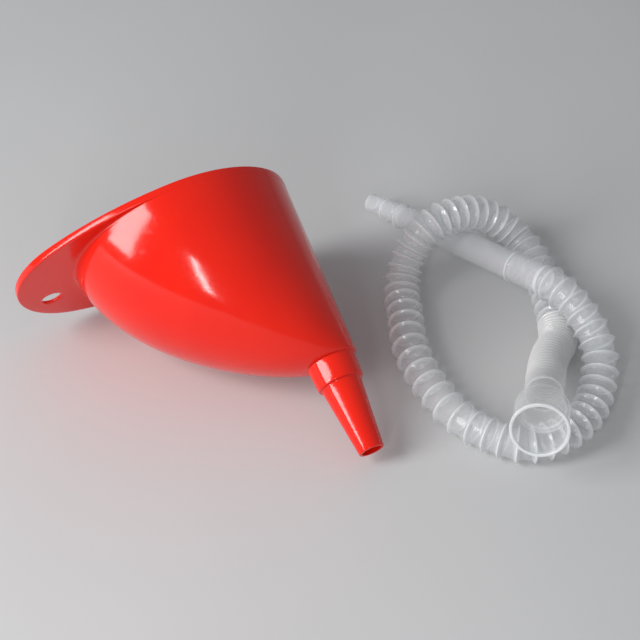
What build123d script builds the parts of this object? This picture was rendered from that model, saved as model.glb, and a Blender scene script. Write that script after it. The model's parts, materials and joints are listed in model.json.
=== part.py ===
from build123d import *
import math
import os

# A plastic funnel with a long flexible pouring hose, lying side by side on a
# table.  Millimetres, +Z up, table at z = 0.  The origin is the middle of the
# funnel's footprint.  The funnel's spout points along -Y and its hanging tab
# along -X; the hose lies beside it at +X with its pull-on cup towards -Y.

# ---- funnel, sizes in its own upright frame (spout axis vertical) ----
WALL = 1.8             # wall of bowl, flange and spout
MOUTH_R = 65.0         # bowl mouth: a circle about the bowl's own axis
TAB_REACH = 99.0       # from the bowl's axis to the tip of the hanging tab
TAB_TIP_R = 53.0       # radius of the tab's rounded tip
LIP_H = 4.2            # height of the spill lip round the flange
BOWL_DEPTH = 107.5     # rim to the collar
SPOUT_OFFSET = 47.0    # spout axis from the bowl's axis, towards the flat side
BOWL_FOOT_R = 15.3     # outside radius of the bowl where the collar starts
SCOOP_POWER = 1.9      # shape of the long scooped side
SCOOP_ROUND = 1.2
COLLAR_TOP_R = 14.1
COLLAR_END_R = 13.3
COLLAR_L = 13.9
SPOUT_TOP_R = 11.65
SPOUT_END_R = 7.24
SPOUT_L = 41.4
SPOUT_WALL = 1.5
OUTLET_LAND = 6.0      # straight stretch of the outlet's bore
SECTIONS = (0, 0.15, 0.3, 0.45, 0.6, 0.73, 0.84, 0.92, 0.97, 1)   # shares of the depth
EDGE_R = 0.8           # small rounding drawn as a chamfer on the spout's steps
HOLE_R = 5.4           # hanging hole
HOLE_X = -81.6
HOLE_Y = 12.7
FUNNEL_ROLL = -13.0    # roll of the lying funnel about its spout axis, degrees
CUT = 1.0              # how far a cutter runs past the face that it opens

# ---- hose ----
HOSE_R = 10.4          # plain radius that stands for the corrugated wall
HOSE_WALL = 0.8
BELLOWS_R = 10.9       # closed, fine-ribbed stretch behind the cup
CUP_MOUTH = (134.3, -140, 44.2)   # centre of the cup's open end
CUP_HEADING = 234.5    # compass direction the cup's mouth faces, from +X
CUP_RISE = 16.5        # and how far it looks up, degrees
COLLAR_FIT = 0.3       # radial clearance of the cup's bore on the funnel's collar
SOCKET_WALL = 1.2
SOCKET_DRAFT = 0.4     # the socket's outside narrows by this towards its floor
CUP_RIM = 0.7          # how far the rolled edge at the mouth stands out
CUP_RIM_L = 1.6
CUP_L = 24.0           # socket, mouth to shoulder
SOCKET_FLOOR = 3.0     # end of the straight bore to the shoulder
SHOULDER_L = 3.5
NECK_R = 11.6
NECK_L = 12.5
NECK_STEP = 0.3        # the neck's end stands this far outside the bellows
CUP_WALL = 1.1
DRAW_L = 22.0          # straight part of the closed bellows, drawn out in use

TUBE_START = (203, -32.3, 33.6)   # smooth tube, on top of the crossing
TUBE_END = (159.2, 102.2, 6.1)       # its tip, on the table
TUBE_R = 8.4
HEAD_STEP = 0.5        # the stretch next to the corrugations is this much wider
TUBE_HEAD_R = TUBE_R + HEAD_STEP
TUBE_HEAD_L = 23.0
TAIL_STEP = 0.6        # the far end is this much narrower
TUBE_TAIL_R = TUBE_R - TAIL_STEP
TUBE_RING_L = 1.2      # end ring, as wide as the corrugated hose that carries it
BEAD_STEP = 1.2        # moulded ring near the corrugations
BEAD_R = TUBE_R + BEAD_STEP
BEAD_L = 1.6
TIP_L = 28.0           # stepped end piece
TIP_STEP = 0.5         # height of the tip's first ring
TIP_BEAD_R = TUBE_TAIL_R + TIP_STEP
MID_STEP = 1.3         # the tip's middle is this much narrower than the tube
TIP_MID_R = TUBE_TAIL_R - MID_STEP
TIP_MID_L = 13.0
TIP_RING_STEP = 0.45
TIP_RING_R = TIP_MID_R + TIP_RING_STEP
END_STEP = 0.7         # and its end narrower again
TIP_END_R = TIP_MID_R - END_STEP
TIP_WALL = 1.0
TUBE_WALL = 0.9

# Route of the corrugated hose, from the closed bellows to the smooth tube: it
# runs under its own far end, climbs over the smooth tube, comes down, goes
# round the long loop on the table and climbs over its own start.
HOSE_ROUTE = [
    (204.3, -46, 11.2), (208.3, -36, 11), (215.3, -16, 11), (220.3, 5, 11.6),
    (218.3, 27, 17), (203.3, 36.5, 31), (183.3, 36.5, 40), (161.3, 34, 40),
    (146.3, 31, 24), (135.3, 18, 11.6), (128.3, -2, 11), (119.3, -22, 11),
    (115.3, -43, 11), (114.3, -64, 11), (116.3, -86, 11), (125.3, -105, 11),
    (139.3, -122, 11), (162.3, -124, 11), (182.3, -117, 11.6), (198.3, -102, 14.5),
    (209.3, -85, 22), (209.8, -65, 30.5),
]
HOSE_LEAD = 11.0       # the hose's last run lines up with the smooth tube
# Between the cup and the hose the closed bellows bends once: straight this far
# from either end, measured along that end's own direction.
BEND_FROM_CUP = 18.0
BEND_FROM_HOSE = 15.0
ARC_SHARE = 0.45       # share of the shorter run that a corner's arc takes up


def tapered(plane, stations):
    """Solid of revolution on a plane's axis from (distance, radius) pairs."""
    pts = [(0, stations[0][0])] + [(r, z) for z, r in stations] + [(0, stations[-1][0])]
    face = make_face(Polyline(*pts, close=True))
    solid = revolve(Plane.XZ * face, Axis.Z)
    return plane.location * solid


def tube_along(points, radius, wall):
    """Round hose on straight runs joined by tangent arcs, as large as fit."""
    pts = [Vector(*p) if isinstance(p, tuple) else p for p in points]
    radii = []
    for a, b, c in zip(pts, pts[1:], pts[2:]):
        turn = math.radians((b - a).get_angle(c - b))
        radii.append(ARC_SHARE * min((b - a).length, (c - b).length) / math.tan(turn / 2))
    path = FilletPolyline(*pts, radius=radii) if radii else Line(*pts)
    start = Plane(origin=path @ 0, z_dir=path % 0)
    ring = start * (Circle(radius) - Circle(radius - wall))
    solid = sweep(ring, path=path)
    section = math.pi * (radius ** 2 - (radius - wall) ** 2)
    print("radii", [round(r) for r in radii], "length %.0f" % path.length,
          "volume %.0f, section x length %.0f" % (solid.volume, section * path.length))
    return solid


# ---------------------------------------------------------------- funnel
def tab_outline(inset):
    """Mouth circle on the flat side, drawn out into the tab by tangent arcs."""
    tip_x = -(TAB_REACH - TAB_TIP_R)
    drop = (tip_x ** 2 - (MOUTH_R - TAB_TIP_R) ** 2) / (2 * (MOUTH_R - TAB_TIP_R))
    meet = math.degrees(math.atan2(drop, tip_x))
    flank = MOUTH_R + drop - inset
    return make_face(Wire([
        CenterArc((0, 0), MOUTH_R - inset, -90, 180),
        CenterArc((0, -drop), flank, 90, meet - 90),
        CenterArc((tip_x, 0), TAB_TIP_R - inset, meet, 360 - 2 * meet),
        CenterArc((0, drop), flank, 360 - meet, meet - 90)]))


def bowl_circle(u):
    """Centre and radius of the bowl's section at the share u of its depth."""
    far = MOUTH_R + (SPOUT_OFFSET + BOWL_FOOT_R - MOUTH_R) * u
    foot = SPOUT_OFFSET - BOWL_FOOT_R
    near = foot - (foot + MOUTH_R) * (1 - u ** SCOOP_POWER) ** (1 / SCOOP_ROUND)
    return (far + near) / 2, (far - near) / 2


def bowl(inset, lift, top=0.0):
    """Bowl's solid, moved in by inset, its floor lifted and its top raised."""
    sections = []
    for u in SECTIONS:
        x, r = bowl_circle(u)
        z = -BOWL_DEPTH * u + lift * u ** 2 + (top if u == 0 else 0)
        sections.append(Plane(origin=(x, 0, z)) * Circle(r - inset))
    return loft(sections)


outline = tab_outline(0)
collar_z = -BOWL_DEPTH
spout_z = collar_z - COLLAR_L
end_z = spout_z - SPOUT_L
spout = Plane(origin=(SPOUT_OFFSET, 0, 0))

outlet_r = SPOUT_END_R - SPOUT_WALL
throat_r = COLLAR_END_R - WALL
funnel = extrude(Plane(origin=(0, 0, -LIP_H)) * outline, LIP_H) + bowl(0, 0)
funnel += tapered(spout, [
    (end_z, SPOUT_END_R), (spout_z, SPOUT_TOP_R), (spout_z, COLLAR_END_R - EDGE_R),
    (spout_z + EDGE_R, COLLAR_END_R), (collar_z, COLLAR_TOP_R)])
tray = Plane(origin=(0, 0, WALL - LIP_H)) * tab_outline(WALL)
funnel -= extrude(tray, LIP_H)
funnel -= bowl(WALL, WALL, CUT)
funnel -= tapered(spout, [
    (end_z - CUT, outlet_r), (end_z + OUTLET_LAND, outlet_r), (spout_z, SPOUT_TOP_R - SPOUT_WALL),
    (spout_z + WALL, throat_r), (collar_z + WALL + CUT, throat_r)])
funnel -= Pos(HOLE_X, HOLE_Y, -LIP_H - CUT) * extrude(Circle(HOLE_R), WALL + 2 * CUT)

# Lying on its side the funnel touches the table with the flange's edge and
# with the outlet, which sets how far its spout axis dips.
rolled = outline.rotate(Axis.Z, FUNNEL_ROLL)
edge_y = rolled.bounding_box().max.Y
outlet_y = SPOUT_OFFSET * math.sin(math.radians(FUNNEL_ROLL)) + SPOUT_END_R
dip = math.degrees(math.atan2(edge_y - outlet_y, -end_z - LIP_H))
funnel = funnel.rotate(Axis.Z, FUNNEL_ROLL).rotate(Axis.X, dip - 90)
box = funnel.bounding_box()
shift = Vector(-box.center().X, -box.center().Y, -box.min.Z)
funnel = funnel.translate(shift)
print("spout axis dips %.2f degrees, shift %s" % (dip, shift))


# ------------------------------------------------------------------ hose
heading, rise = math.radians(CUP_HEADING), math.radians(CUP_RISE)
cup_out = Vector(math.cos(heading) * math.cos(rise), math.sin(heading) * math.cos(rise), math.sin(rise))
mouth = Vector(*CUP_MOUTH)
cup_plane = Plane(origin=mouth, z_dir=-cup_out)
neck_z = CUP_L + SHOULDER_L
cup_end = neck_z + NECK_L
cup_bore_r = COLLAR_TOP_R + COLLAR_FIT
cup_r = cup_bore_r + SOCKET_WALL
cup = tapered(cup_plane, [
    (0, cup_r + CUP_RIM), (CUP_RIM_L, cup_r + CUP_RIM), (CUP_RIM_L, cup_r),
    (CUP_L, cup_r - SOCKET_DRAFT), (neck_z, NECK_R), (cup_end, BELLOWS_R + NECK_STEP)])
cup -= tapered(cup_plane, [
    (-CUT, cup_bore_r), (CUP_L - SOCKET_FLOOR, cup_bore_r), (neck_z, NECK_R - CUP_WALL),
    (cup_end + CUT, BELLOWS_R - HOSE_WALL)])

draw_start = mouth - cup_out * cup_end
draw_end = draw_start - cup_out * DRAW_L
draw_bellows = tube_along([draw_start, draw_end], BELLOWS_R, HOSE_WALL)
hose_start = Vector(*HOSE_ROUTE[0])
hose_in = (Vector(*HOSE_ROUTE[1]) - hose_start).normalized()
bend_bellows = tube_along(
    [draw_end, draw_end - cup_out * BEND_FROM_CUP, hose_start - hose_in * BEND_FROM_HOSE, hose_start],
    BELLOWS_R, HOSE_WALL)
start, end = Vector(*TUBE_START), Vector(*TUBE_END)
run = (end - start).normalized()
hose = tube_along(HOSE_ROUTE + [start - run * HOSE_LEAD, start], HOSE_R, HOSE_WALL)

tube_l = (end - start).length - TIP_L
tube_plane = Plane(origin=start, z_dir=run)
tube = tapered(tube_plane, [
    (0, HOSE_R), (TUBE_RING_L, HOSE_R), (TUBE_RING_L, TUBE_HEAD_R),
    (TUBE_HEAD_L, TUBE_HEAD_R), (TUBE_HEAD_L, BEAD_R),
    (TUBE_HEAD_L + BEAD_L, BEAD_R), (TUBE_HEAD_L + BEAD_L, TUBE_R), (tube_l / 2, TUBE_R),
    (tube_l, TUBE_TAIL_R)])
tube -= tapered(tube_plane, [
    (-CUT, TUBE_R - TUBE_WALL), (tube_l / 2, TUBE_R - TUBE_WALL),
    (tube_l + CUT, TUBE_TAIL_R - TUBE_WALL)])
tip_plane = Plane(origin=start + run * tube_l, z_dir=run)
tip = tapered(tip_plane, [
    (0, TIP_BEAD_R), (BEAD_L, TIP_BEAD_R), (BEAD_L, TIP_MID_R), (TIP_MID_L, TIP_MID_R),
    (TIP_MID_L, TIP_RING_R), (TIP_MID_L + BEAD_L, TIP_RING_R), (TIP_MID_L + BEAD_L, TIP_END_R),
    (TIP_L, TIP_END_R)])
tip -= tapered(tip_plane, [
    (-CUT, TUBE_TAIL_R - TUBE_WALL), (BEAD_L, TIP_MID_R - TIP_WALL), (TIP_MID_L, TIP_MID_R - TIP_WALL),
    (TIP_MID_L + BEAD_L, TIP_END_R - TIP_WALL), (TIP_L + CUT, TIP_END_R - TIP_WALL)])

nodes = {
    "funnel": funnel, "hose_cup": cup, "draw_bellows": draw_bellows, "bend_bellows": bend_bellows,
    "corrugated_hose": hose, "smooth_tube": tube, "stepped_tip": tip,
}
os.makedirs("parts", exist_ok=True)
for name, solid in nodes.items():
    export_step(solid, "parts/%s.step" % name)
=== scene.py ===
import json
import math

import bmesh
import bpy
import numpy as np
from mathutils import Matrix, Vector


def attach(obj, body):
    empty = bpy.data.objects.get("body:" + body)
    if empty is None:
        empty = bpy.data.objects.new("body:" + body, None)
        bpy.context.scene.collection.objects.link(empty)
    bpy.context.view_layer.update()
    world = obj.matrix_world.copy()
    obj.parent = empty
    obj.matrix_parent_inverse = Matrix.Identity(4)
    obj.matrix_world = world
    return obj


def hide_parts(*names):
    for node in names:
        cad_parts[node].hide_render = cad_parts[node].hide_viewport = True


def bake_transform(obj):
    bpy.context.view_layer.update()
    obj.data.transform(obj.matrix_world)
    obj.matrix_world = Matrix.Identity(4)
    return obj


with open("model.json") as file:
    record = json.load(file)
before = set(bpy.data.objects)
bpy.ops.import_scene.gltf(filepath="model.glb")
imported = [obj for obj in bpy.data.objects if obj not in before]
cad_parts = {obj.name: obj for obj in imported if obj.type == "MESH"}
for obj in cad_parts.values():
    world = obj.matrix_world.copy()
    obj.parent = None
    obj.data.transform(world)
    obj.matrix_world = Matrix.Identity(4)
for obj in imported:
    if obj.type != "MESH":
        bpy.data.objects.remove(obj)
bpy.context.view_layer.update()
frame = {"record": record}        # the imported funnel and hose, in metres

# A red plastic funnel lies on a pale table beside its long translucent pouring hose.
# Sizes below are millimetres, as on a drawing, and MM turns them into the frame's metres.
MM = 0.001

# ---- funnel, upright: spout axis along Z, rim at z = 0 ----
WALL = 1.8
MOUTH_R = 65.0
TAB_REACH = 99.0
TAB_TIP_R = 53.0
LIP_H = 4.2
LIP_EDGE = 0.55           # rounding of the lip's top edges
FLANGE_EDGE = 0.9         # rounding of the flange's outer lower edge
BLEND_H = 5.0             # height over which the flange's underside runs into the bowl
BOWL_DEPTH = 107.5
SPOUT_OFFSET = 47.0
BOWL_FOOT_R = 15.3
SCOOP_POWER = 1.9
SCOOP_ROUND = 1.2
COLLAR_TOP_R = 14.1
COLLAR_END_R = 13.3
COLLAR_L = 13.9
SPOUT_TOP_R = 11.65
SPOUT_END_R = 7.24
SPOUT_L = 41.4
SPOUT_WALL = 1.5
OUTLET_LAND = 6.0
HOLE_R = 5.4
HOLE_X = -81.6
HOLE_Y = 12.7
HOLE_EDGE = 0.5
FUNNEL_ROLL = -13.0       # degrees, of the lying funnel about its spout axis
AROUND = 288              # points round each of the funnel's rings

# ---- hose ----
HOSE_ROOT_R = 8.9         # flat bands between the fins
HOSE_CREST_R = 10.95
HOSE_WALL = 0.75
FIN_FOOT = 2.0            # half the width of a fin's foot
# The fins stand closer or wider as the hose is pushed together or drawn out: (share of length, pitch).
HOSE_PITCH = [(0, 8.4), (0.1, 8.6), (0.2, 7.8), (0.27, 6.2), (0.36, 6.4), (0.44, 9.6), (0.52, 10.6),
              (0.62, 10.2), (0.68, 8.2), (0.74, 7.3), (0.82, 7.6), (0.88, 9.2), (1, 9.2)]
BELLOWS_R = 10.75
BELLOWS_WIDEN = 0.35
BELLOWS_PITCH = 3.2
BELLOWS_RIB = 0.85
BELLOWS_WALL = 0.8
BEND_RIB_LEAST = 0.55     # share of the ribs' height that is left where the straight bellows starts
CUP_DRAFT = 0.4           # the socket narrows by this towards its floor
CUP_WALL = 1.1
SOCKET_FLOOR = 3.0        # end of the straight bore to the shoulder
CUP_BORE_R = 14.4
CUP_R = 15.6
CUP_RIM_R = 16.3
CUP_RIM_L = 1.6
CUP_L = 24.0
SHOULDER_L = 3.5
NECK_R = 11.6
NECK_L = 12.5
DRAW_L = 22.0
TUBE_HEAD_R = 8.9
TUBE_HEAD_L = 23.0
TUBE_R = 8.4
TUBE_TAIL_R = 7.8
TUBE_WALL = 0.9
BEAD_R = 9.6
BEAD_L = 1.6
TIP_L = 28.0
TIP_BEAD_R = 8.3
TIP_MID_R = 6.5
TIP_MID_L = 13.0
TIP_RING_R = 6.95
TIP_END_R = 5.8
TIP_WALL = 1.0

# The corrugated hose's route, in metres, from the closed bellows to the smooth tube.
HOSE_ROUTE = [
    (0.2043, -0.046, 0.0112), (0.2083, -0.036, 0.011), (0.2153, -0.016, 0.011), (0.2203, 0.005, 0.0116),
    (0.2183, 0.027, 0.017), (0.2033, 0.0365, 0.031), (0.1833, 0.0365, 0.040), (0.1613, 0.034, 0.040),
    (0.1463, 0.031, 0.024), (0.1353, 0.018, 0.0116), (0.1283, -0.002, 0.011), (0.1193, -0.022, 0.011),
    (0.1153, -0.043, 0.011), (0.1143, -0.064, 0.011), (0.1163, -0.086, 0.011), (0.1253, -0.105, 0.011),
    (0.1393, -0.122, 0.011), (0.1623, -0.124, 0.011), (0.1823, -0.117, 0.0116), (0.1983, -0.102, 0.0145),
    (0.2093, -0.085, 0.022), (0.2098, -0.065, 0.0305),
]
TUBE_START = Vector((0.203, -0.0323, 0.0336))
HOSE_LEAD = 11.0 * MM
BEND_FROM_CUP = 18.0 * MM
BEND_FROM_HOSE = 15.0 * MM

# ---- looks ----
RED_DARK = (0.79, 0.009, 0.001)
RED_LIGHT = (0.85, 0.014, 0.002)
CLOUD_TONE = 0.985        # how dark the faint clouds in the clear plastic are
FLOOR_DARK = (0.60, 0.602, 0.605)
FLOOR_LIGHT = (0.63, 0.632, 0.635)
FLOOR_HALF = 3.0
SKY_STRENGTH = 0.3
CAMERA_PLACE = (-0.2571, -0.6832, 0.7669)
CAMERA_AIM = (0.31253, 0.64515, -0.69722)
LENS = 104.6
SENSOR = 36.0

mounts = {m["name"]: m for m in frame["record"]["mounts"]}


def mount(name):
    """A bore mount's outer end and the direction out of it."""
    axis = Vector(mounts[name]["axis"])
    return Vector(mounts[name]["pos_m"]) + axis * (mounts[name]["dims"]["length_mm"] / 2 * MM), axis


# ------------------------------------------------------------------ meshes
def piece(name, verts, faces, attributes=()):
    """A smooth mesh object in the row frame, its faces all facing out."""
    mesh = bpy.data.meshes.new(name)
    mesh.from_pydata([tuple(v) for v in verts], [], [tuple(int(i) for i in f) for f in faces])
    for key, values in attributes:
        mesh.attributes.new(key, "FLOAT", "POINT").data.foreach_set("value", np.asarray(values, np.float32))
    bm = bmesh.new()
    bm.from_mesh(mesh)
    bmesh.ops.recalc_face_normals(bm, faces=bm.faces)
    bm.to_mesh(mesh)
    bm.free()
    mesh.shade_smooth()
    obj = bpy.data.objects.new(name, mesh)
    bpy.context.scene.collection.objects.link(obj)
    return obj


def loop_of_rings(rings):
    """Vertices and quads of a closed shell whose rings follow each other in a loop."""
    count, around = len(rings), len(rings[0])
    k, i = np.meshgrid(np.arange(count), np.arange(around), indexing="ij")
    a, b = k * around + i, k * around + (i + 1) % around
    c, d = (k + 1) % count * around + (i + 1) % around, (k + 1) % count * around + i
    return np.concatenate(rings), np.stack([a, b, c, d], -1).reshape(-1, 4)


def rounded(corners, steps=5, closed=True):
    """An outline from (z, r, rounding) corners, each drawn as a short curve."""
    line = []
    last = len(corners) - 1
    for i, (z, r, size) in enumerate(corners):
        corner = np.array((z, r), float)
        if size == 0 or (not closed and i in (0, last)):
            line.append(corner)
            continue
        ends = []
        for other in (corners[i - 1], corners[(i + 1) % len(corners)]):
            leg = np.array(other[:2], float) - corner
            length = np.linalg.norm(leg)
            ends.append(corner + leg / length * min(size, 0.48 * length))
        for t in np.linspace(0, 1, steps):
            line.append((1 - t) ** 2 * ends[0] + 2 * t * (1 - t) * corner + t * t * ends[1])
    return np.array(line)


def subdivided(line, longest, closed=True):
    """The outline with its long stretches cut up, so that a shell shades evenly."""
    out = []
    pairs = list(zip(line, np.roll(line, -1, axis=0)))
    for p, q in pairs if closed else pairs[:-1]:
        parts = max(1, int(np.ceil(np.linalg.norm(q - p) / longest)))
        out += [p + (q - p) * n / parts for n in range(parts)]
    return np.array(out if closed else out + [line[-1]])


def turned(name, origin, axis, corners, longest=4.0, around=96, thick=()):
    """A shell of revolution: corners are (distance along the axis, radius, rounding), in mm.

    thick lists the distances at which the wall is thick, or seen edge on, and so looks milky.
    """
    line = subdivided(rounded(corners), longest)
    turn = axis.to_track_quat("Z", "Y").to_matrix()
    angle = np.linspace(0, 2 * math.pi, around, endpoint=False)
    rings = []
    for z, r in line:
        flat = np.stack([r * np.cos(angle), r * np.sin(angle), np.full(around, z)], -1) * MM
        rings.append(flat @ np.array(turn).T + np.array(origin))
    crest = [max([math.exp(-((z - edge) / 0.7) ** 2) for edge in thick], default=0.0) for z, r in line]
    return piece(name, *loop_of_rings(rings), attributes=[("crest", np.repeat(crest, around))])


def smooth_line(points):
    """Points along the NURBS curve that has these control points."""
    data = bpy.data.curves.new("route", "CURVE")
    data.dimensions = "3D"
    data.resolution_u = 24
    spline = data.splines.new("NURBS")
    spline.points.add(len(points) - 1)
    for p, co in zip(spline.points, points):
        p.co = (*co, 1.0)
    spline.order_u = 3
    spline.use_endpoint_u = True
    holder = bpy.data.objects.new("route", data)
    bpy.context.scene.collection.objects.link(holder)
    mesh = bpy.data.meshes.new_from_object(holder)
    line = np.array([v.co for v in mesh.vertices])
    bpy.data.objects.remove(holder)
    bpy.data.curves.remove(data)
    bpy.data.meshes.remove(mesh)
    return line


def length_of(line):
    return float(np.linalg.norm(np.diff(line, axis=0), axis=1).sum())


def stations(line, distances):
    """Places, and two crosswise directions, at distances along a line."""
    run = np.concatenate([[0], np.cumsum(np.linalg.norm(np.diff(line, axis=0), axis=1))])
    step = run[-1] / 4000
    at = lambda s: np.stack([np.interp(s, run, line[:, i]) for i in range(3)], -1)
    distances = np.asarray(distances)
    centre = at(distances)
    ahead = at(np.minimum(distances + 8 * step, run[-1])) - at(np.maximum(distances - 8 * step, 0))
    ahead /= np.linalg.norm(ahead, axis=1)[:, None]
    side = np.cross(ahead[0], (0, 0, 1))
    side /= np.linalg.norm(side)
    across = []
    for t in ahead:
        side = side - t * (side @ t)
        side /= np.linalg.norm(side)
        across.append(side)
    across = np.array(across)
    return centre, across, np.cross(ahead, across)


def hose_shell(name, line, distances, radii, wall, crest, around=56):
    """A thin hose wall that follows a line, its outer radius given at each distance."""
    centre, u, v = stations(line, distances)
    angle = np.linspace(0, 2 * math.pi, around, endpoint=False)
    ring = lambda k, r: centre[k] + r * (np.cos(angle)[:, None] * u[k] + np.sin(angle)[:, None] * v[k])
    order = range(len(distances))
    rings = [ring(k, radii[k]) for k in order] + [ring(k, radii[k] - wall) for k in reversed(order)]
    marks = np.repeat(list(crest) + list(crest)[::-1], around)
    return piece(name, *loop_of_rings(rings), attributes=[("crest", marks)])


# ------------------------------------------------------------------ funnel
def circle(x, r, z):
    """A ring of the funnel: a circle about (x, 0), point for point in step with the tab's outline."""
    angle = np.linspace(0, 2 * math.pi, AROUND, endpoint=False)
    return np.stack([x + r * np.cos(angle), r * np.sin(angle), np.full(AROUND, float(z))], -1)


def tab_outline(inset):
    """Distance of the rim's outline from the bowl's axis at each angle, moved in by inset."""
    angle = np.linspace(0, 2 * math.pi, AROUND, endpoint=False)
    tip_x = -(TAB_REACH - TAB_TIP_R)
    drop = (tip_x ** 2 - (MOUTH_R - TAB_TIP_R) ** 2) / (2 * (MOUTH_R - TAB_TIP_R))
    meet = math.atan2(drop, tip_x)
    reach = lambda cx, cy, r: (cx * np.cos(angle) + cy * np.sin(angle)) + np.sqrt(
        (cx * np.cos(angle) + cy * np.sin(angle)) ** 2 - cx ** 2 - cy ** 2 + r ** 2)
    tip_r = TAB_TIP_R - inset
    seam = math.atan2(tip_r * math.sin(meet), tip_x + tip_r * math.cos(meet))
    flank = np.where(np.sin(angle) > 0, reach(0, -drop, MOUTH_R + drop - inset),
                     reach(0, drop, MOUTH_R + drop - inset))
    turn = np.abs(np.arctan2(np.sin(angle), np.cos(angle)))
    tab = np.where(turn < seam, flank, reach(tip_x, 0, tip_r))
    return np.where(turn <= math.pi / 2, MOUTH_R - inset, tab)


def rim_ring(inset, z):
    angle = np.linspace(0, 2 * math.pi, AROUND, endpoint=False)
    r = tab_outline(0) - inset if np.ndim(inset) else tab_outline(inset)
    return np.stack([r * np.cos(angle), r * np.sin(angle), np.broadcast_to(z, AROUND)], -1)


def bowl_circle(u, inset=0.0):
    """Centre and radius of the bowl's section at the share u of its depth."""
    far = MOUTH_R + (SPOUT_OFFSET + BOWL_FOOT_R - MOUTH_R) * u
    foot = SPOUT_OFFSET - BOWL_FOOT_R
    near = foot - (foot + MOUTH_R) * (1 - u ** SCOOP_POWER) ** (1 / SCOOP_ROUND)
    return (far + near) / 2, (far - near) / 2 - inset


def bowl_ring(u, inset):
    x, r = bowl_circle(u, inset)
    return circle(x, r, -BOWL_DEPTH * u + inset * u ** 2)


def ledge(edge, wall_top, wall_foot, steps=22):
    """Rings from an edge across a flat flange and round into a wall: the flange may have no width."""
    rings = []
    for t in np.linspace(0, 1, steps):
        over = min(1.0, t / 0.68)
        over = over * (2 - over) if t > 0 else 0.0
        down = max(0.0, (t - 0.42) / 0.58)
        down = 0.02 * t + 0.98 * down ** 2
        rings.append(edge + (wall_top - edge) * over + (wall_foot - wall_top) * down)
    return rings


def about_spout(corners):
    """Rings about the spout's axis from an open outline of (z, r, rounding) corners."""
    line = subdivided(rounded(corners, steps=6, closed=False), 4.0, closed=False)
    return [circle(SPOUT_OFFSET, r, z) for z, r in line]


def funnel():
    """The funnel's one shell, made upright as a loop of rings, then laid down as the CAD model lies."""
    end_z = -(BOWL_DEPTH + COLLAR_L + SPOUT_L)
    spout_z = -(BOWL_DEPTH + COLLAR_L)
    outlet_r = SPOUT_END_R - SPOUT_WALL
    throat_r = COLLAR_END_R - WALL
    rings = about_spout([
        (end_z + OUTLET_LAND / 3, outlet_r, 0), (end_z, outlet_r, 0.3), (end_z, SPOUT_END_R, 0.45),
        (spout_z, SPOUT_TOP_R, 0.5), (spout_z, COLLAR_END_R, 0.7), (-BOWL_DEPTH, COLLAR_TOP_R, 0.35),
        (-BOWL_DEPTH, BOWL_FOOT_R - 0.15, 0)])
    wall_foot = (LIP_H + BLEND_H) / BOWL_DEPTH
    climb = 1 - (1 - wall_foot) * np.linspace(0.02, 1, 72)[:-1] ** 1.5
    rings += [bowl_ring(u, 0.0) for u in climb]
    underside = bowl_ring(LIP_H / BOWL_DEPTH, 0.0)
    width = np.maximum(tab_outline(0) - np.hypot(underside[:, 0], underside[:, 1]), 0.0)
    edge = np.minimum(FLANGE_EDGE, width / 2)
    corner = [rim_ring(edge * (1 - math.sin(a)), -LIP_H + edge * (1 - math.cos(a)))
              for a in np.linspace(0, math.pi / 2, 6)]
    rings += ledge(corner[0], underside, bowl_ring(wall_foot, 0.0))[::-1] + corner[1:]
    rings.append(rim_ring(0.0, -LIP_H / 2))
    quarter = np.linspace(0, math.pi / 2, 5)
    rings += [rim_ring(LIP_EDGE * (1 - math.cos(a)), LIP_EDGE * (math.sin(a) - 1)) for a in quarter]
    rings += [rim_ring(WALL - LIP_EDGE * (1 - math.sin(a)), LIP_EDGE * (math.cos(a) - 1)) for a in quarter]
    floor_z = WALL - LIP_H
    inner = bowl_ring(-floor_z / BOWL_DEPTH, WALL)
    inner[:, 2] = floor_z
    rings.append(rim_ring(WALL + 0.01, (floor_z - LIP_EDGE) / 2))
    rings += ledge(rim_ring(WALL + 0.02, floor_z), inner, bowl_ring(wall_foot, WALL))
    rings += [bowl_ring(u, WALL) for u in climb[::-1]]
    rings += about_spout([
        (-BOWL_DEPTH + WALL, BOWL_FOOT_R - WALL - 0.15, 0), (-BOWL_DEPTH + WALL, throat_r, 0.6),
        (spout_z + WALL, throat_r, 1.0), (spout_z, SPOUT_TOP_R - SPOUT_WALL, 1.0),
        (end_z + OUTLET_LAND, outlet_r, 1.0), (end_z + OUTLET_LAND / 2, outlet_r, 0)])
    verts, faces = loop_of_rings([r * MM for r in rings])
    outlet, axis = mount("spout_outlet")
    dip = math.asin(-axis.z)
    lay = Matrix.Rotation(dip - math.pi / 2, 3, "X") @ Matrix.Rotation(math.radians(FUNNEL_ROLL), 3, "Z")
    shift = outlet - lay @ (Vector((SPOUT_OFFSET, 0, end_z)) * MM)
    place = lambda points: np.asarray(points) @ np.array(lay).T + np.array(shift)
    body = piece("funnel_shell", place(verts), faces)
    cut_z = WALL - LIP_H
    hole = turned("hole_cutter", place([(HOLE_X * MM, HOLE_Y * MM, -LIP_H * MM)])[0],
                  Vector(lay @ Vector((0, 0, 1))), [
                      (-2, 0.001, 0), (-2, HOLE_R + 4 * HOLE_EDGE, 0), (-0.01, HOLE_R + HOLE_EDGE, 0),
                      (HOLE_EDGE, HOLE_R, 0.4), (cut_z + LIP_H - HOLE_EDGE, HOLE_R, 0.4),
                      (cut_z + LIP_H + 0.01, HOLE_R + HOLE_EDGE, 0),
                      (cut_z + LIP_H + 2, HOLE_R + 4 * HOLE_EDGE, 0), (cut_z + LIP_H + 2, 0.001, 0)],
                  longest=20, around=48)
    cut = body.modifiers.new("hole", "BOOLEAN")
    cut.object, cut.solver = hole, "EXACT"
    whole = bpy.data.meshes.new_from_object(body.evaluated_get(bpy.context.evaluated_depsgraph_get()))
    body.modifiers.clear()
    body.data = whole
    body.data.shade_smooth()
    bpy.data.objects.remove(hole)
    return body


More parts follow.
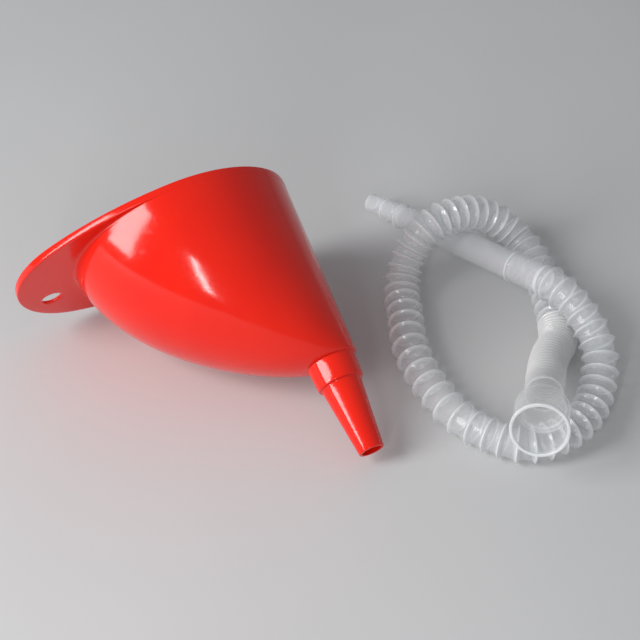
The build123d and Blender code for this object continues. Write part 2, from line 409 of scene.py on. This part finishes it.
# ------------------------------------------------------------------ hose
def corrugated(line):
    """Fins stand on flat bands along the whole hose."""
    length = length_of(line)
    s = np.linspace(0, length, 6000)
    pitch = np.interp(s / length, *np.transpose(HOSE_PITCH)) * MM
    phase = np.concatenate([[0], np.cumsum(np.diff(s) / pitch[1:])])
    count = round(phase[-1])
    phase *= count / phase[-1]
    within = np.array([0, 0.1, 0.2, 0.27, 0.32, 0.36, 0.4, 0.44, 0.47, 0.5, 0.53, 0.56, 0.6, 0.64, 0.68, 0.73,
                       0.8, 0.9])
    marks = np.append((np.arange(count)[:, None] + within).ravel(), count)
    away = np.abs(marks % 1 - 0.5) * np.interp(marks, phase, pitch) / (FIN_FOOT * MM)
    rise = np.clip(1 - away, 0, 1) ** 1.25
    radii = (HOSE_ROOT_R + (HOSE_CREST_R - HOSE_ROOT_R) * rise) * MM
    return hose_shell("ribbed_hose", line, np.interp(marks, phase, s), radii, HOSE_WALL * MM, rise ** 1.5)


def bellows(name, line, rib, widen):
    """Closely set rounded ribs. rib and widen give the ribs' height and the extra radius along it."""
    length = length_of(line)
    count = round(length / (BELLOWS_PITCH * MM))
    marks = np.linspace(0, count, count * 10 + 1)
    share = marks / count
    wave = np.abs(np.sin(math.pi * marks)) ** 0.8
    radii = (BELLOWS_R + widen(share) + rib(share) * BELLOWS_RIB * (2 * wave - 1.3)) * MM
    return hose_shell(name, line, share * length, radii, BELLOWS_WALL * MM, wave * rib(share), around=64)


# --------------------------------------------------------------- materials
def nodes_of(name):
    mat = bpy.data.materials.new(name)
    mat.use_nodes = True
    tree = mat.node_tree
    return mat, tree, tree.nodes["Principled BSDF"]


def add(tree, kind, inputs=(), **settings):
    node = tree.nodes.new(kind)
    for key, value in settings.items():
        setattr(node, key, value)
    for key, value in inputs:
        if isinstance(value, bpy.types.NodeSocket):
            tree.links.new(value, node.inputs[key])
        else:
            node.inputs[key].default_value = value
    return node


def noise(tree, scale, detail=3.0, stretch=(1, 1, 1)):
    where = add(tree, "ShaderNodeTexCoord").outputs["Object"]
    spread = add(tree, "ShaderNodeMapping", [("Vector", where), ("Scale", stretch)])
    return add(tree, "ShaderNodeTexNoise", [
        ("Vector", spread.outputs["Vector"]), ("Scale", scale), ("Detail", detail)]).outputs["Fac"]


def between(tree, value, low, high, start=0.35, end=0.65):
    return add(tree, "ShaderNodeMapRange", [
        ("Value", value), ("From Min", start), ("From Max", end), ("To Min", low), ("To Max", high)]
    ).outputs["Result"]


def tinted(tree, shader, factor, dark, light):
    """Base colour that wanders between two tones."""
    mix = add(tree, "ShaderNodeMix", [("Factor", factor)], data_type="RGBA")
    mix.inputs[6].default_value = (*dark, 1)
    mix.inputs[7].default_value = (*light, 1)
    tree.links.new(mix.outputs[2], shader.inputs["Base Color"])


def uneven(tree, shader, texture, strength, distance):
    """A faint unevenness of the moulded skin."""
    bump = add(tree, "ShaderNodeBump", [("Height", texture), ("Strength", strength), ("Distance", distance)])
    tree.links.new(bump.outputs["Normal"], shader.inputs["Normal"])


def red_plastic():
    """Glossy injection-moulded polypropylene, with faint flow marks and fine handling scratches."""
    mat, tree, shader = nodes_of("funnel_red")
    flow = noise(tree, 18, 4, (1, 1, 0.35))
    tinted(tree, shader, between(tree, flow, 0, 1), RED_DARK, RED_LIGHT)
    fine = noise(tree, 900, 2)
    scratch = noise(tree, 260, 5, (1, 0.06, 1))
    rough = add(tree, "ShaderNodeMath", [
        (0, between(tree, fine, 0.10, 0.16)), (1, between(tree, scratch, 0.0, 0.07, 0.62, 0.75))],
        operation="ADD")
    tree.links.new(rough.outputs[0], shader.inputs["Roughness"])
    uneven(tree, shader, noise(tree, 140, 3), strength=0.05, distance=0.0008)
    shader.inputs["IOR"].default_value = 1.5
    shader.inputs["Specular IOR Level"].default_value = 0.5
    return mat


def clear_plastic(name, colour, alpha, crest_alpha, roughness):
    """Milky translucent polyethylene: thin walls let the background through, thick crests less."""
    mat, tree, shader = nodes_of(name)
    cloud = noise(tree, 60, 4)
    tinted(tree, shader, between(tree, cloud, 0, 1), [c * CLOUD_TONE for c in colour], colour)
    crest = add(tree, "ShaderNodeAttribute", attribute_name="crest").outputs["Fac"]
    wall = between(tree, crest, alpha, crest_alpha, 0.0, 1.0)
    mottle = between(tree, noise(tree, 90, 3), -0.012, 0.012)
    facing = add(tree, "ShaderNodeLayerWeight", [("Blend", 0.25)]).outputs["Facing"]
    grazing = between(tree, facing, 0.0, 0.5, 0.3, 1.0)
    thin = add(tree, "ShaderNodeMath", [(0, wall), (1, mottle)], operation="ADD")
    solid = add(tree, "ShaderNodeMath", [(0, thin.outputs[0]), (1, grazing)], operation="ADD", use_clamp=True)
    tree.links.new(solid.outputs[0], shader.inputs["Alpha"])
    grain = noise(tree, 300, 2)
    tree.links.new(between(tree, grain, roughness * 0.9, roughness * 1.1), shader.inputs["Roughness"])
    uneven(tree, shader, noise(tree, 120, 2), strength=0.03, distance=0.0004)
    shader.inputs["IOR"].default_value = 1.5
    shader.inputs["Specular IOR Level"].default_value = 1.0
    return mat


def finish_with(obj, mat):
    obj.data.materials.clear()
    obj.data.materials.append(mat)
    return obj


# ------------------------------------------------------------------- stage
def floor():
    half = FLOOR_HALF
    mesh = bpy.data.meshes.new("floor")
    corners = [(-half, -half, 0), (half, -half, 0), (half, half, 0), (-half, half, 0)]
    mesh.from_pydata(corners, [], [(0, 1, 2, 3)])
    obj = bpy.data.objects.new("floor", mesh)
    bpy.context.scene.collection.objects.link(obj)
    mat, tree, shader = nodes_of("floor")
    tone = between(tree, noise(tree, 3, 3), 0.0, 1.0)
    tinted(tree, shader, tone, FLOOR_DARK, FLOOR_LIGHT)
    shader.inputs["Roughness"].default_value = 0.9
    mesh.materials.append(mat)


def area_light(name, place, target, size, power):
    data = bpy.data.lights.new(name, "AREA")
    data.shape = "RECTANGLE"
    data.size, data.size_y = size
    data.energy = power
    obj = bpy.data.objects.new(name, data)
    bpy.context.scene.collection.objects.link(obj)
    obj.location = place
    obj.rotation_mode = "QUATERNION"
    obj.rotation_quaternion = (Vector(target) - Vector(place)).to_track_quat("-Z", "Y")


def studio():
    world = bpy.data.worlds.new("studio")
    bpy.context.scene.world = world
    world.use_nodes = True
    world.node_tree.nodes["Background"].inputs["Color"].default_value = (0.95, 0.97, 1.0, 1)
    world.node_tree.nodes["Background"].inputs["Strength"].default_value = SKY_STRENGTH
    area_light("window", (-1.15, -0.02, 0.78), (0.05, 0, 0.1), (0.5, 1.15), 19)
    area_light("side", (-0.62, -0.9, 0.62), (0.05, 0, 0.03), (0.07, 0.6), 3)


def camera():
    data = bpy.data.cameras.new("camera")
    data.lens = LENS
    data.sensor_width = SENSOR
    data.clip_start, data.clip_end = 0.01, 50.0
    obj = bpy.data.objects.new("camera", data)
    bpy.context.scene.collection.objects.link(obj)
    obj.location = CAMERA_PLACE
    obj.rotation_mode = "QUATERNION"
    obj.rotation_quaternion = Vector(CAMERA_AIM).to_track_quat("-Z", "Y")
    bpy.context.scene.camera = obj


# ------------------------------------------------------------------- build
camera()
studio()
floor()
bpy.context.scene.view_settings.view_transform = "Standard"
bpy.context.scene.cycles.transparent_max_bounces = 32

tip_end, run = mount("tip_outlet")
cup_mouth, cup_out = mount("cup_socket")
cup_length = (CUP_L + SHOULDER_L + NECK_L) * MM
draw_start = cup_mouth - cup_out * cup_length
draw_end = draw_start - cup_out * DRAW_L * MM
hose_start = Vector(HOSE_ROUTE[0])
hose_in = (Vector(HOSE_ROUTE[1]) - hose_start).normalized()

red = red_plastic()
hose_clear = clear_plastic("hose_clear", (0.88, 0.90, 0.92), 0.16, 0.62, 0.12)
bellows_clear = clear_plastic("bellows_clear", (0.86, 0.87, 0.87), 0.34, 0.72, 0.16)
tube_clear = clear_plastic("tube_clear", (0.90, 0.92, 0.95), 0.2, 0.62, 0.1)

funnel_shell = finish_with(funnel(), red)
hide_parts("funnel")
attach(funnel_shell, "funnel")

tube_l = (tip_end - TUBE_START).length / MM - TIP_L
smooth_tube = turned("tube_shell", TUBE_START, run, [
    (0, HOSE_ROOT_R, 0.3), (1.2, HOSE_ROOT_R, 0.4), (3.0, TUBE_HEAD_R, 1.0),
    (TUBE_HEAD_L, TUBE_HEAD_R - 0.2, 0.3), (TUBE_HEAD_L, BEAD_R, 0.5), (TUBE_HEAD_L + BEAD_L, BEAD_R, 0.5),
    (TUBE_HEAD_L + BEAD_L, TUBE_R, 0.3), (tube_l / 2, TUBE_R, 4), (tube_l, TUBE_TAIL_R, 0.1),
    (tube_l, TUBE_TAIL_R - TUBE_WALL, 0.1), (tube_l / 2, TUBE_R - TUBE_WALL, 4),
    (0, TUBE_R - TUBE_WALL, 0.1)],
    thick=(0, 0.8, 1.6, TUBE_HEAD_L + BEAD_L / 2, tube_l))
finish_with(smooth_tube, tube_clear)
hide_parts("smooth_tube")
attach(smooth_tube, "hose")

tip = turned("tip_shell", TUBE_START + run * tube_l * MM, run, [
    (0, TUBE_TAIL_R - TUBE_WALL, 0.1), (0, TIP_BEAD_R, 0.5), (BEAD_L, TIP_BEAD_R, 0.6),
    (BEAD_L + 0.8, TIP_MID_R, 0.5), (TIP_MID_L, TIP_MID_R, 0.3), (TIP_MID_L, TIP_RING_R, 0.4),
    (TIP_MID_L + BEAD_L, TIP_RING_R, 0.5), (TIP_MID_L + BEAD_L, TIP_END_R, 0.3), (TIP_L, TIP_END_R, 0.4),
    (TIP_L, TIP_END_R - TIP_WALL, 0.4), (TIP_MID_L + BEAD_L, TIP_END_R - TIP_WALL, 0.5),
    (TIP_MID_L, TIP_MID_R - TIP_WALL, 0.5), (BEAD_L, TIP_MID_R - TIP_WALL, 0.5)], longest=1.5,
    thick=(0, BEAD_L / 2, TIP_MID_L + BEAD_L / 2, TIP_L))
finish_with(tip, tube_clear)
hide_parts("stepped_tip")
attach(tip, "hose")

neck_z = CUP_L + SHOULDER_L
cup = turned("cup_shell", cup_mouth, -cup_out, [
    (0, CUP_BORE_R, 0.5), (0, CUP_RIM_R, 0.8), (CUP_RIM_L, CUP_RIM_R, 0.8), (CUP_RIM_L + 0.3, CUP_R, 0.4),
    (CUP_L, CUP_R - CUP_DRAFT, 1.5), (neck_z, NECK_R, 1.5), (neck_z + NECK_L, BELLOWS_R + BELLOWS_WIDEN, 0.1),
    (neck_z + NECK_L, BELLOWS_R - BELLOWS_WALL, 0.1), (neck_z, NECK_R - CUP_WALL, 1.2),
    (CUP_L - SOCKET_FLOOR, CUP_BORE_R, 1.2)], longest=1.0, around=128,
    thick=(0, CUP_RIM_L / 2, CUP_RIM_L, CUP_L, neck_z + NECK_L))
finish_with(cup, hose_clear)
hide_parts("hose_cup")
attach(cup, "cup")

bend_line = smooth_line([draw_end, draw_end - cup_out * BEND_FROM_CUP,
                         hose_start - hose_in * BEND_FROM_HOSE, hose_start])
bend = bellows("bend_ribs", bend_line, lambda t: BEND_RIB_LEAST + (1 - BEND_RIB_LEAST) * t, lambda t: 0 * t)
finish_with(bend, bellows_clear)
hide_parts("bend_bellows")
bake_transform(bend)

draw_line = np.linspace(np.array(draw_start), np.array(draw_end), 60)
draw = bellows("draw_ribs", draw_line, lambda t: BEND_RIB_LEAST * np.clip(t * 1.6 - 0.2, 0, 1),
               lambda t: BELLOWS_WIDEN * (1 - t))
finish_with(draw, bellows_clear)
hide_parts("draw_bellows")
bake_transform(draw)

hose_line = smooth_line(HOSE_ROUTE + [TUBE_START - run * HOSE_LEAD, TUBE_START])
hose = corrugated(hose_line)
finish_with(hose, hose_clear)
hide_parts("corrugated_hose")
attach(hose, "hose")
